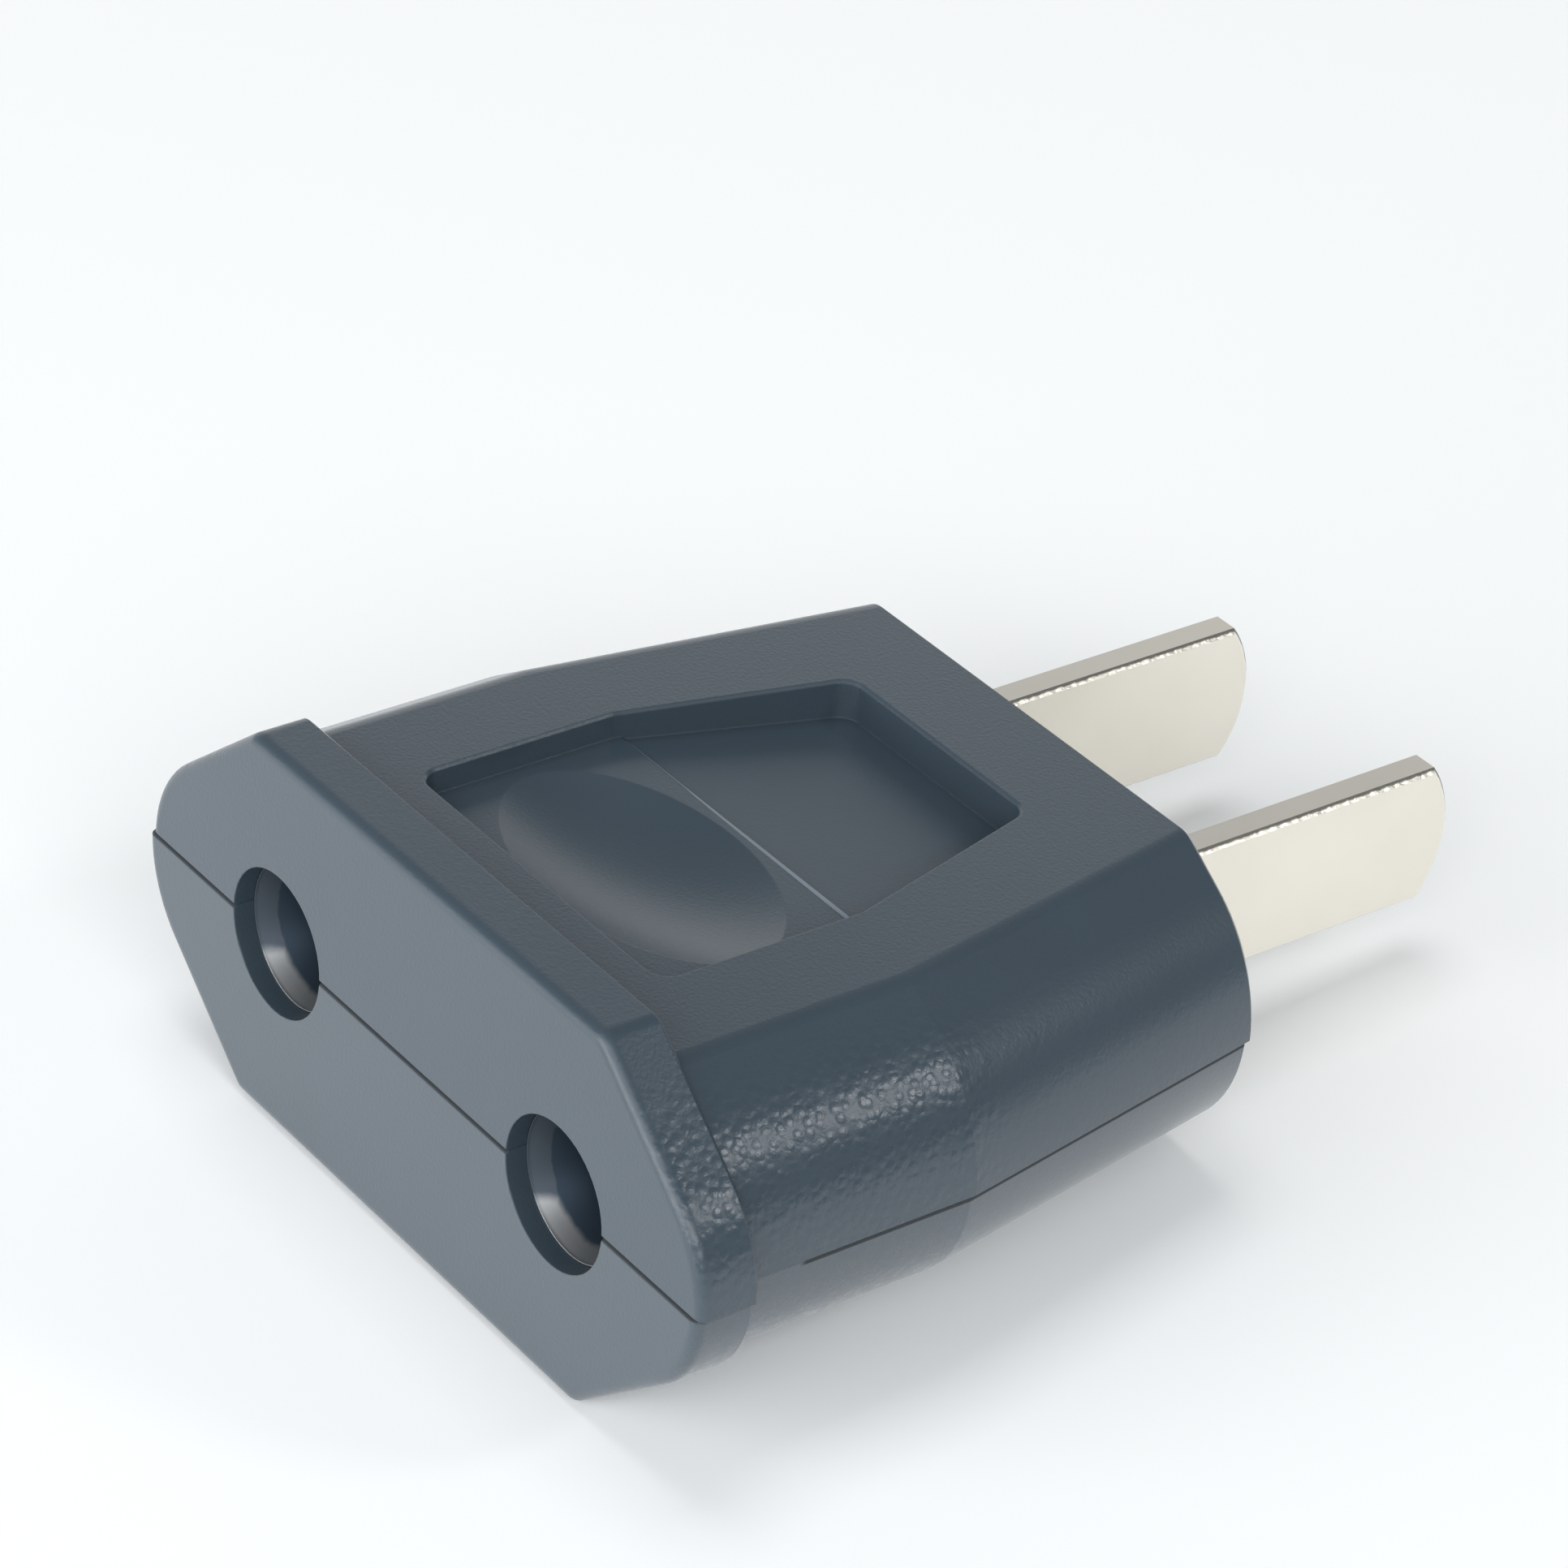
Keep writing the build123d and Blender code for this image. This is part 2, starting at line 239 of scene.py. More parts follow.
@dataclass(frozen=True)
class MouldedAbs:
    """Black ABS, injection moulded against a spark-eroded steel tool.

    The eye sees a dull slate-grey black with a fine even grain and softly rounded edges, rounder
    at the rim of the socket face. The leaning side walls are pebbled: the tool's small pits stand
    on them as low round dots, which the light picks out one by one. The recess floor beyond the
    bead is duller than the rest. A dark line lies in the joint: dirt, and painted shade of the gap
    and of the upper shell's overhang.
    """

    name: str = "moulded_black_abs"
    colour: str = "#36434D"
    worn_colour: str = "#3A4853"
    # Joint colour: dirt, and painted shade of the gap and of the upper shell's overhang.
    seam_dirt_and_shade_colour: str = "#22292E"
    cloud: float = 6.0 * MM
    ior: float = 1.54
    specular: float = 0.5
    roughness: float = 0.32
    dot_roughness: float = 0.26
    recess_roughness: float = 0.44
    seam_roughness: float = 0.9
    wall_from: float = 0.3
    wall_full: float = 0.55
    end_from: float = 0.3
    end_full: float = 0.6
    seam_core: float = 0.05 * MM
    seam_rim: float = 0.17 * MM
    joint_drop: float = 0.11 * MM
    joint_core: float = 0.17 * MM
    joint_rim: float = 0.24 * MM
    joint_start: float = 5.5 * MM
    joint_end: float = 5.8 * MM
    fine_grain: float = 0.16 * MM
    fine_height: float = 0.008 * MM
    dot_spacing: float = 0.42 * MM
    dot_foot: float = 0.75
    dot_top: float = 0.15
    dot_height: float = 0.014 * MM
    pebble: float = 0.5 * MM
    pebble_height: float = 0.007 * MM
    smooth_to: float = 12.7 * MM
    pebbled_from: float = 15.5 * MM
    calm_from: float = 12.5 * MM
    calm_to: float = 16.0 * MM
    calm: float = 0.2
    edge_radius: float = 0.1 * MM
    rim_radius: float = 0.35 * MM
    rim_full: float = 0.9 * MM
    rim_end: float = 1.6 * MM
    pin_place: float = 9.5 * MM
    pin_clear: float = 3.6 * MM
    pin_far: float = 4.4 * MM
    seam_clear: float = 0.6 * MM
    seam_far: float = 1.2 * MM
    recess_middle: Triple = (0.0, 20.7 * MM, 5.2 * MM)
    recess_half: Triple = (8.7 * MM, 5.8 * MM, 1.6 * MM)
    recess_edge: float = 0.1 * MM

    def survey(self, tree: Tree) -> ShellSpot:
        """Works out where a point lies, and whether its surface is a wall or an end.

        A surface that leans to the side is a wall, and one that faces along the pins is an end.

        Args:
            tree: Node tree of the material.

        Returns:
            The sockets that the other methods share.
        """
        place = add_node(tree, "ShaderNodeTexCoord")
        point = add_node(tree, "ShaderNodeSeparateXYZ", {0: place.outputs["Object"]})
        normal = add_node(tree, "ShaderNodeSeparateXYZ", {0: place.outputs["Normal"]})
        signed = [point.outputs["X"], point.outputs["Z"], normal.outputs["X"], normal.outputs["Y"]]
        across, height, sideways, endways = [
            add_node(tree, "ShaderNodeMath", {0: value}, operation="ABSOLUTE").outputs[0]
            for value in signed
        ]
        wall = add_node(
            tree,
            "ShaderNodeMapRange",
            {"Value": sideways, "From Min": self.wall_from, "From Max": self.wall_full},
            interpolation_type="SMOOTHSTEP",
        )
        end = add_node(
            tree,
            "ShaderNodeMapRange",
            {"Value": endways, "From Min": self.end_from, "From Max": self.end_full},
            interpolation_type="SMOOTHSTEP",
        )
        return ShellSpot(
            here=place.outputs["Object"],
            depth=point.outputs["Y"],
            level=point.outputs["Z"],
            across=across,
            height=height,
            wall=wall.outputs[0],
            end=end.outputs[0],
        )

    def joint(self, tree: Tree, spot: ShellSpot) -> Socket:
        """Marks the dark line between the shells: dirt, and painted shade in the gap.

        On the ends it is a fine line. On the walls it opens past the flange, and a painted shadow
        under the upper shell's overhang makes it wider.

        Args:
            tree: Node tree of the material.
            spot: Where the point lies.

        Returns:
            Zero on the plain surface and one in the line.
        """
        # On the ends: dirt and painted shade in the seam's gap.
        line = add_node(
            tree,
            "ShaderNodeMapRange",
            {"Value": spot.height, "From Min": self.seam_rim, "From Max": self.seam_core},
            interpolation_type="SMOOTHSTEP",
        )
        seam = add_node(
            tree, "ShaderNodeMath", {0: line.outputs[0], 1: spot.end}, operation="MULTIPLY"
        )
        lowered = add_node(
            tree, "ShaderNodeMath", {0: spot.level, 1: self.joint_drop}, operation="ADD"
        )
        distance = add_node(tree, "ShaderNodeMath", {0: lowered.outputs[0]}, operation="ABSOLUTE")
        # On the walls: painted shadow under the upper shell's overhang.
        shadow = add_node(
            tree,
            "ShaderNodeMapRange",
            {
                "Value": distance.outputs[0],
                "From Min": self.joint_rim,
                "From Max": self.joint_core,
            },
            interpolation_type="SMOOTHSTEP",
        )
        opened = add_node(
            tree,
            "ShaderNodeMapRange",
            {"Value": spot.depth, "From Min": self.joint_start, "From Max": self.joint_end},
        )
        open_wall = add_node(
            tree, "ShaderNodeMath", {0: spot.wall, 1: opened.outputs[0]}, operation="MULTIPLY"
        )
        gap = add_node(
            tree,
            "ShaderNodeMath",
            {0: shadow.outputs[0], 1: open_wall.outputs[0]},
            operation="MULTIPLY",
        )
        dark = add_node(
            tree, "ShaderNodeMath", {0: seam.outputs[0], 1: gap.outputs[0]}, operation="MAXIMUM"
        )
        return dark.outputs[0]

    def tint(self, tree: Tree, spot: ShellSpot, dark: Socket) -> Socket:
        """Clouds the colour, and darkens it in the joint with dirt and painted shade.

        Args:
            tree: Node tree of the material.
            spot: Where the point lies.
            dark: One in the joint.

        Returns:
            The colour.
        """
        cloud = add_node(
            tree,
            "ShaderNodeTexNoise",
            {"Vector": spot.here, "Scale": 1 / self.cloud, "Detail": 4.0},
        )
        clouded = add_node(
            tree,
            "ShaderNodeMix",
            {0: cloud.outputs["Fac"], 6: linear(self.colour), 7: linear(self.worn_colour)},
            data_type="RGBA",
        )
        # Dirt and painted shade darken the colour in the joint.
        shade = add_node(
            tree,
            "ShaderNodeMix",
            {0: dark, 6: clouded.outputs[2], 7: linear(self.seam_dirt_and_shade_colour)},
            data_type="RGBA",
        )
        return shade.outputs[2]

    def pebbled_wall(self, tree: Tree, spot: ShellSpot) -> Socket:
        """Marks the outer part of the walls, where the pebbles lie, less towards the nose.

        Args:
            tree: Node tree of the material.
            spot: Where the point lies.

        Returns:
            Zero where the surface is smooth and one where the pebbles have their full height.
        """
        outer = add_node(
            tree,
            "ShaderNodeMapRange",
            {"Value": spot.across, "From Min": self.smooth_to, "From Max": self.pebbled_from},
            interpolation_type="SMOOTHSTEP",
        )
        fading = add_node(
            tree,
            "ShaderNodeMapRange",
            {
                "Value": spot.depth,
                "From Min": self.calm_from,
                "From Max": self.calm_to,
                "To Min": 1.0,
                "To Max": self.calm,
            },
            interpolation_type="SMOOTHSTEP",
        )
        outer_wall = add_node(
            tree, "ShaderNodeMath", {0: spot.wall, 1: outer.outputs[0]}, operation="MULTIPLY"
        )
        pebbled = add_node(
            tree,
            "ShaderNodeMath",
            {0: outer_wall.outputs[0], 1: fading.outputs[0]},
            operation="MULTIPLY",
        )
        return pebbled.outputs[0]

    def dots(self, tree: Tree, spot: ShellSpot, pebbled: Socket) -> Socket:
        """Shapes the dots as low domes around scattered points.

        Args:
            tree: Node tree of the material.
            spot: Where the point lies.
            pebbled: One on the pebbled part of the walls.

        Returns:
            Height of the dots, from zero to one.
        """
        cells = add_node(
            tree, "ShaderNodeTexVoronoi", {"Vector": spot.here, "Scale": 1 / self.dot_spacing}
        )
        dome = add_node(
            tree,
            "ShaderNodeMapRange",
            {
                "Value": cells.outputs["Distance"],
                "From Min": self.dot_foot,
                "From Max": self.dot_top,
            },
            interpolation_type="SMOOTHSTEP",
        )
        dots = add_node(
            tree, "ShaderNodeMath", {0: dome.outputs[0], 1: pebbled}, operation="MULTIPLY"
        )
        return dots.outputs[0]

    def gloss(self, tree: Tree, spot: ShellSpot, dots: Socket, dark: Socket) -> Socket:
        """Makes the dots shinier, and the recess floor beyond the bead and the joint duller.

        That floor lies in a box. A point's gap to the box is the largest, over the three axes, of
        its distance from the box's middle less half the box's side.

        Args:
            tree: Node tree of the material.
            spot: Where the point lies.
            dots: Height of the dots.
            dark: One in the joint.

        Returns:
            The roughness.
        """
        shiny = add_node(
            tree,
            "ShaderNodeMapRange",
            {"Value": dots, "To Min": self.roughness, "To Max": self.dot_roughness},
        )
        beyond = add_node(
            tree,
            "ShaderNodeVectorMath",
            {0: spot.here, 1: self.recess_middle},
            operation="SUBTRACT",
        )
        apart = add_node(
            tree, "ShaderNodeVectorMath", {0: beyond.outputs[0]}, operation="ABSOLUTE"
        )
        outside = add_node(
            tree,
            "ShaderNodeVectorMath",
            {0: apart.outputs[0], 1: self.recess_half},
            operation="SUBTRACT",
        )
        gaps = add_node(tree, "ShaderNodeSeparateXYZ", {0: outside.outputs[0]})
        plan_gap = add_node(
            tree,
            "ShaderNodeMath",
            {0: gaps.outputs["X"], 1: gaps.outputs["Y"]},
            operation="MAXIMUM",
        )
        gap = add_node(
            tree,
            "ShaderNodeMath",
            {0: plan_gap.outputs[0], 1: gaps.outputs["Z"]},
            operation="MAXIMUM",
        )
        recess = add_node(
            tree,
            "ShaderNodeMapRange",
            {"Value": gap.outputs[0], "From Min": self.recess_edge, "From Max": 0.0},
        )
        matt = add_node(
            tree,
            "ShaderNodeMix",
            {0: recess.outputs[0], 2: shiny.outputs[0], 3: self.recess_roughness},
        )
        dull = add_node(
            tree, "ShaderNodeMix", {0: dark, 2: matt.outputs[0], 3: self.seam_roughness}
        )
        return dull.outputs[0]

    def rounding(self, tree: Tree, spot: ShellSpot) -> Socket:
        """Rounds the edges, and the rim of the socket face more than the others.

        The holes and the seam in that face stay crisp.

        Args:
            tree: Node tree of the material.
            spot: Where the point lies.

        Returns:
            The normal, turned as on a rounded edge.
        """
        front = add_node(
            tree,
            "ShaderNodeMapRange",
            {"Value": spot.depth, "From Min": self.rim_end, "From Max": self.rim_full},
        )
        beside = add_node(
            tree, "ShaderNodeMath", {0: spot.across, 1: self.pin_place}, operation="SUBTRACT"
        )
        from_pin = add_node(
            tree, "ShaderNodeCombineXYZ", {"X": beside.outputs[0], "Z": spot.level}
        )
        reach = add_node(
            tree, "ShaderNodeVectorMath", {0: from_pin.outputs[0]}, operation="LENGTH"
        )
        off_hole = add_node(
            tree,
            "ShaderNodeMapRange",
            {
                "Value": reach.outputs["Value"],
                "From Min": self.pin_clear,
                "From Max": self.pin_far,
            },
        )
        off_seam = add_node(
            tree,
            "ShaderNodeMapRange",
            {"Value": spot.height, "From Min": self.seam_clear, "From Max": self.seam_far},
        )
        plain = add_node(
            tree,
            "ShaderNodeMath",
            {0: off_hole.outputs[0], 1: off_seam.outputs[0]},
            operation="MULTIPLY",
        )
        rim = add_node(
            tree, "ShaderNodeMath", {0: front.outputs[0], 1: plain.outputs[0]}, operation="MULTIPLY"
        )
        radius = add_node(
            tree,
            "ShaderNodeMapRange",
            {"Value": rim.outputs[0], "To Min": self.edge_radius, "To Max": self.rim_radius},
        )
        return add_node(tree, "ShaderNodeBevel", {"Radius": radius.outputs[0]}).outputs[0]

    def relief(self, tree: Tree, spot: ShellSpot, pebbled: Socket, dots: Socket) -> Socket:
        """Lays fine grain, pebbles and dots over the rounded edges.

        A real spark-eroded grain is finer than a pixel, so it is drawn coarser, to show.

        Args:
            tree: Node tree of the material.
            spot: Where the point lies.
            pebbled: One on the pebbled part of the walls.
            dots: Height of the dots.

        Returns:
            The normal.
        """
        fine = add_node(
            tree,
            "ShaderNodeTexNoise",
            {"Vector": spot.here, "Scale": 1 / self.fine_grain, "Detail": 1.0},
        )
        swell = add_node(
            tree,
            "ShaderNodeTexNoise",
            {"Vector": spot.here, "Scale": 1 / self.pebble, "Detail": 0.0},
        )
        pebbles = add_node(
            tree, "ShaderNodeMath", {0: swell.outputs["Fac"], 1: pebbled}, operation="MULTIPLY"
        )
        layers = (
            (fine.outputs["Fac"], self.fine_height),
            (pebbles.outputs[0], self.pebble_height),
            (dots, self.dot_height),
        )
        normal = self.rounding(tree, spot)
        for height, distance in layers:
            bump = add_node(
                tree,
                "ShaderNodeBump",
                {"Height": height, "Distance": distance, "Normal": normal},
            )
            normal = bump.outputs[0]
        return normal

    def material(self) -> bpy.types.Material:
        """Builds the node tree: clouded colour, dark joint, grain and dots.

        Returns:
            The finished material.
        """
        material, tree = blank_material(self.name)
        spot = self.survey(tree)
        dark = self.joint(tree, spot)
        pebbled = self.pebbled_wall(tree, spot)
        dots = self.dots(tree, spot, pebbled)
        shader = add_node(
            tree,
            "ShaderNodeBsdfPrincipled",
            {
                "Base Color": self.tint(tree, spot, dark),
                "Roughness": self.gloss(tree, spot, dots, dark),
                "IOR": self.ior,
                "Specular IOR Level": self.specular,
                "Normal": self.relief(tree, spot, pebbled, dots),
            },
        )
        add_node(tree, "ShaderNodeOutputMaterial", {"Surface": shader.outputs[0]})
        return material


@dataclass(frozen=True)
class PlatedBrass:
    """Nickel-plated brass strip, blanked in a press and satin from the plating bath.

    The eye sees a warm pale metal whose reflections are soft, with faint clouds where the plate
    is thicker and fine lines along the way the strip was rolled. Half of the bevelled edge is
    painted grey in a thin ragged line, a painted dark reflection, and rough bumps on the bevel
    catch small glints.
    """

    name: str = "nickel_plated_brass"
    colour: str = "#D7D3C9"
    cloud_colour: str = "#CCC8BE"
    # Colour of the painted dark reflection on the bevel.
    edge_reflection_colour: str = "#7C7A74"
    cloud: float = 5.0 * MM
    roughness: float = 0.34
    edge_band_roughness: float = 0.55
    torn_length: float = 0.35 * MM
    torn_height: float = 0.03 * MM
    edge_band_reach: float = 0.12 * MM
    edge_band_from: float = 0.67 * MM
    edge_band_to: float = 0.62 * MM
    bevel_lean: float = 0.65
    bevel_from: float = 0.3
    bevel_full: float = 0.2
    middle: float = 6.35 * MM
    rolling_width: float = 0.10 * MM
    rolling_length: float = 6.0 * MM
    rolling_height: float = 0.002 * MM

    def bevel(self, tree: Tree, normal: Socket) -> Socket:
        """Marks the bevel, where the surface leans half sideways.

        There it is neither a flat side nor a narrow edge.

        Args:
            tree: Node tree of the material.
            normal: The surface's normal.

        Returns:
            One on the bevel.
        """
        facing = add_node(tree, "ShaderNodeSeparateXYZ", {0: normal})
        sideways = add_node(tree, "ShaderNodeMath", {0: facing.outputs["X"]}, operation="ABSOLUTE")
        lean = add_node(
            tree,
            "ShaderNodeMath",
            {0: sideways.outputs[0], 1: self.bevel_lean},
            operation="SUBTRACT",
        )
        apart = add_node(tree, "ShaderNodeMath", {0: lean.outputs[0]}, operation="ABSOLUTE")
        bevel = add_node(
            tree,
            "ShaderNodeMapRange",
            {
                "Value": apart.outputs[0],
                "From Min": self.bevel_from,
                "From Max": self.bevel_full,
            },
        )
        return bevel.outputs[0]

    def edge_band(self, tree: Tree, here: Socket, rag: Socket, bevel: Socket) -> Socket:
        """Marks the half of the bevel that gets a painted dark reflection, with a ragged border.

        Across the bevel, the distance from the strip's middle tells that half from the other one.

        Args:
            tree: Node tree of the material.
            here: Place of the point.
            rag: Noise that makes the border ragged.
            bevel: One on the bevel.

        Returns:
            One in the painted dark reflection.
        """
        point = add_node(tree, "ShaderNodeSeparateXYZ", {0: here})
        across = add_node(tree, "ShaderNodeMath", {0: point.outputs["X"]}, operation="ABSOLUTE")
        beside = add_node(
            tree, "ShaderNodeMath", {0: across.outputs[0], 1: self.middle}, operation="SUBTRACT"
        )
        offset = add_node(tree, "ShaderNodeMath", {0: beside.outputs[0]}, operation="ABSOLUTE")
        centred = add_node(tree, "ShaderNodeMath", {0: rag, 1: NOISE_MIDDLE}, operation="SUBTRACT")
        ragged = add_node(
            tree,
            "ShaderNodeMath",
            {0: centred.outputs[0], 1: self.edge_band_reach, 2: offset.outputs[0]},
            operation="MULTIPLY_ADD",
        )
        banded = add_node(
            tree,
            "ShaderNodeMapRange",
            {"Value": ragged.outputs[0], "From Min": self.edge_band_from, "From Max": self.edge_band_to},
        )
        edge_band = add_node(
            tree, "ShaderNodeMath", {0: banded.outputs[0], 1: bevel}, operation="MULTIPLY"
        )
        return edge_band.outputs[0]

    def relief(self, tree: Tree, here: Socket, rag: Socket, bevel: Socket) -> Socket:
        """Lays the tears of the bevel over fine rolling lines.

        Args:
            tree: Node tree of the material.
            here: Place of the point.
            rag: Noise that shapes the tears.
            bevel: One on the bevel.

        Returns:
            The normal.
        """
        stretch = add_node(
            tree,
            "ShaderNodeMapping",
            {"Vector": here, "Scale": (1.0, self.rolling_width / self.rolling_length, 1.0)},
        )
        lines = add_node(
            tree,
            "ShaderNodeTexNoise",
            {"Vector": stretch.outputs[0], "Scale": 1 / self.rolling_width},
        )
        rolled = add_node(
            tree,
            "ShaderNodeBump",
            {"Height": lines.outputs["Fac"], "Distance": self.rolling_height},
        )
        tears = add_node(tree, "ShaderNodeMath", {0: rag, 1: bevel}, operation="MULTIPLY")
        bump = add_node(
            tree,
            "ShaderNodeBump",
            {
                "Height": tears.outputs[0],
                "Distance": self.torn_height,
                "Normal": rolled.outputs[0],
            },
        )
        return bump.outputs[0]

    def material(self) -> bpy.types.Material:
        """Builds the node tree: clouded plate over fine rolling lines, with a painted dark edge.

        Returns:
            The finished material.
        """
        material, tree = blank_material(self.name)
        place = add_node(tree, "ShaderNodeTexCoord")
        here = place.outputs["Object"]
        cloud = add_node(tree, "ShaderNodeTexNoise", {"Vector": here, "Scale": 1 / self.cloud})
        tint = add_node(
            tree,
            "ShaderNodeMix",
            {0: cloud.outputs["Fac"], 6: linear(self.colour), 7: linear(self.cloud_colour)},
            data_type="RGBA",
        )
        noise = add_node(
            tree,
            "ShaderNodeTexNoise",
            {"Vector": here, "Scale": 1 / self.torn_length, "Detail": 3.0},
        )
        rag = noise.outputs["Fac"]
        bevel = self.bevel(tree, place.outputs["Normal"])
        edge_band = self.edge_band(tree, here, rag, bevel)
        # Painted dark reflection along half of the bevel.
        shade = add_node(
            tree,
            "ShaderNodeMix",
            {0: edge_band, 6: tint.outputs[2], 7: linear(self.edge_reflection_colour)},
            data_type="RGBA",
        )
        gloss = add_node(
            tree,
            "ShaderNodeMapRange",
            {"Value": edge_band, "To Min": self.roughness, "To Max": self.edge_band_roughness},
        )
        shader = add_node(
            tree,
            "ShaderNodeBsdfPrincipled",
            {
                "Base Color": shade.outputs[2],
                "Metallic": 1.0,
                "Roughness": gloss.outputs[0],
                "Normal": self.relief(tree, here, rag, bevel),
            },
        )
        add_node(tree, "ShaderNodeOutputMaterial", {"Surface": shader.outputs[0]})
        return material


@dataclass(frozen=True)
class ShadedSleeve:
    """Rolled brass sleeve with a thin nickel flash, bright low in its mouth.

    The eye sees a grey metal ring inside the hole, bright at its lower side and dull above, and
    past it a dark bore. The darkness above and deep in the bore is painted shade.
    """

    name: str = "shaded_nickel_flash"
    mouth_colour: str = "#9BA1A5"
    # Colour of the painted shade deep in the bore and on the upper side.
    shaded_bore_colour: str = "#3A4652"
    mouth_roughness: float = 0.42
    bore_roughness: float = 0.6
    bright_to: float = 1.75 * MM
    dull_from: float = 2.2 * MM
    lit_to: float = -2.2 * MM
    shaded_above: float = -1.4 * MM
    upper_shade: float = 0.85
    blotch: float = 0.9 * MM
    blotch_reach: float = 0.3 * MM

    def painted_shade(self, tree: Tree) -> Socket:
        """Paints shade that grows inwards and upwards, with a blotched border.

        Args:
            tree: Node tree of the material.

        Returns:
            Zero where the metal is bright and one where it is dark.
        """
        here = add_node(tree, "ShaderNodeTexCoord").outputs["Object"]
        blotch = add_node(
            tree,
            "ShaderNodeTexNoise",
            {"Vector": here, "Scale": 1 / self.blotch, "Detail": 2.0},
        )
        centred = add_node(
            tree,
            "ShaderNodeMath",
            {0: blotch.outputs["Fac"], 1: NOISE_MIDDLE},
            operation="SUBTRACT",
        )
        shift = add_node(
            tree,
            "ShaderNodeMath",
            {0: centred.outputs[0], 1: self.blotch_reach},
            operation="MULTIPLY",
        )
        blotched = add_node(
            tree, "ShaderNodeVectorMath", {0: here, 1: shift.outputs[0]}, operation="ADD"
        )
        point = add_node(tree, "ShaderNodeSeparateXYZ", {0: blotched.outputs[0]})
        # Painted shade deeper in the bore, where little light reaches.
        inner = add_node(
            tree,
            "ShaderNodeMapRange",
            {"Value": point.outputs["Y"], "From Min": self.bright_to, "From Max": self.dull_from},
            interpolation_type="SMOOTHSTEP",
        )
        # Painted shade on the upper side, which the light misses.
        upper = add_node(
            tree,
            "ShaderNodeMapRange",
            {
                "Value": point.outputs["Z"],
                "From Min": self.lit_to,
                "From Max": self.shaded_above,
                "To Max": self.upper_shade,
            },
            interpolation_type="SMOOTHSTEP",
        )
        painted_shade = add_node(
            tree,
            "ShaderNodeMath",
            {0: inner.outputs[0], 1: upper.outputs[0]},
            operation="MAXIMUM",
        )
        return painted_shade.outputs[0]

    def material(self) -> bpy.types.Material:
        """Builds the node tree: bright metal under painted shade with a blotched border.

        Returns:
            The finished material.
        """
        material, tree = blank_material(self.name)
        painted_shade = self.painted_shade(tree)
        # Bright metal, darkened where the shade is painted.
        tint = add_node(
            tree,
            "ShaderNodeMix",
            {0: painted_shade, 6: linear(self.mouth_colour), 7: linear(self.shaded_bore_colour)},
            data_type="RGBA",
        )
        gloss = add_node(
            tree,
            "ShaderNodeMapRange",
            {"Value": painted_shade, "To Min": self.mouth_roughness, "To Max": self.bore_roughness},
        )
        shader = add_node(
            tree,
            "ShaderNodeBsdfPrincipled",
            {"Base Color": tint.outputs[2], "Metallic": 1.0, "Roughness": gloss.outputs[0]},
        )
        add_node(tree, "ShaderNodeOutputMaterial", {"Surface": shader.outputs[0]})
        return material


@dataclass(frozen=True)
class ShadedEyelet(ShadedSleeve):
    """Pressed brass eyelet with the same nickel flash.

    The eye sees a thin grey ring that is bright only low at its front. Above and deeper in, it is
    darkened by painted shade.
    """

    name: str = "shaded_eyelet_flash"
    mouth_colour: str = "#8F9193"
    mouth_roughness: float = 0.5
    bright_to: float = 1.45 * MM
    dull_from: float = 1.75 * MM
    lit_to: float = -2.1 * MM
    shaded_above: float = -1.7 * MM


@dataclass(frozen=True)
class TumbledBrass:
    """Plain brass of the rivets, tumbled smooth and left bare.

    The eye sees a soft yellow metal with browner clouds where it has begun to tarnish.
    """

    name: str = "tumbled_brass"
    colour: str = "#E2CE9E"
    brown_colour: str = "#C3A56B"
    roughness: float = 0.42
    cloud: float = 1.2 * MM

    def material(self) -> bpy.types.Material:
        """Builds the node tree: yellow metal with brown clouds.

        Returns:
            The finished material.
        """
        material, tree = blank_material(self.name)
        here = add_node(tree, "ShaderNodeTexCoord").outputs["Object"]
        cloud = add_node(tree, "ShaderNodeTexNoise", {"Vector": here, "Scale": 1 / self.cloud})
        tint = add_node(
            tree,
            "ShaderNodeMix",
            {0: cloud.outputs["Fac"], 6: linear(self.colour), 7: linear(self.brown_colour)},
            data_type="RGBA",
        )
        shader = add_node(
            tree,
            "ShaderNodeBsdfPrincipled",
            {"Base Color": tint.outputs[2], "Metallic": 1.0, "Roughness": self.roughness},
        )
        add_node(tree, "ShaderNodeOutputMaterial", {"Surface": shader.outputs[0]})
        return material


@dataclass(frozen=True)
class PaleTable:
    """Matt white laminate of the table.

    The eye sees plain white that keeps a soft shadow. Rays from the camera see a little white
    added to it, and rays from shiny pieces see more. It lights the adapter as plain paint would.
    """

    name: str = "white_laminate"
    colour: str = "#F4F6F7"
    lift: float = 0.06
    shiny_lift: float = 0.45

    def material(self) -> bpy.types.Material:
        """Builds the node tree: matt paint, with some white added where it is seen.

        Returns:
            The finished material.
        """
        material, tree = blank_material(self.name)
        camera, shiny = ray_kinds(tree)
        seen = add_node(tree, "ShaderNodeMath", {0: camera, 1: self.lift}, operation="MULTIPLY")
        lifted = add_node(
            tree,
            "ShaderNodeMath",
            {0: shiny, 1: self.shiny_lift, 2: seen.outputs[0]},
            operation="MULTIPLY_ADD",
        )
        paint = add_node(tree, "ShaderNodeBsdfDiffuse", {"Color": linear(self.colour)})
        white = add_node(tree, "ShaderNodeEmission", {"Strength": lifted.outputs[0]})
        surface = add_node(tree, "ShaderNodeAddShader", {0: paint.outputs[0], 1: white.outputs[0]})
        add_node(tree, "ShaderNodeOutputMaterial", {"Surface": surface.outputs[0]})
        return material


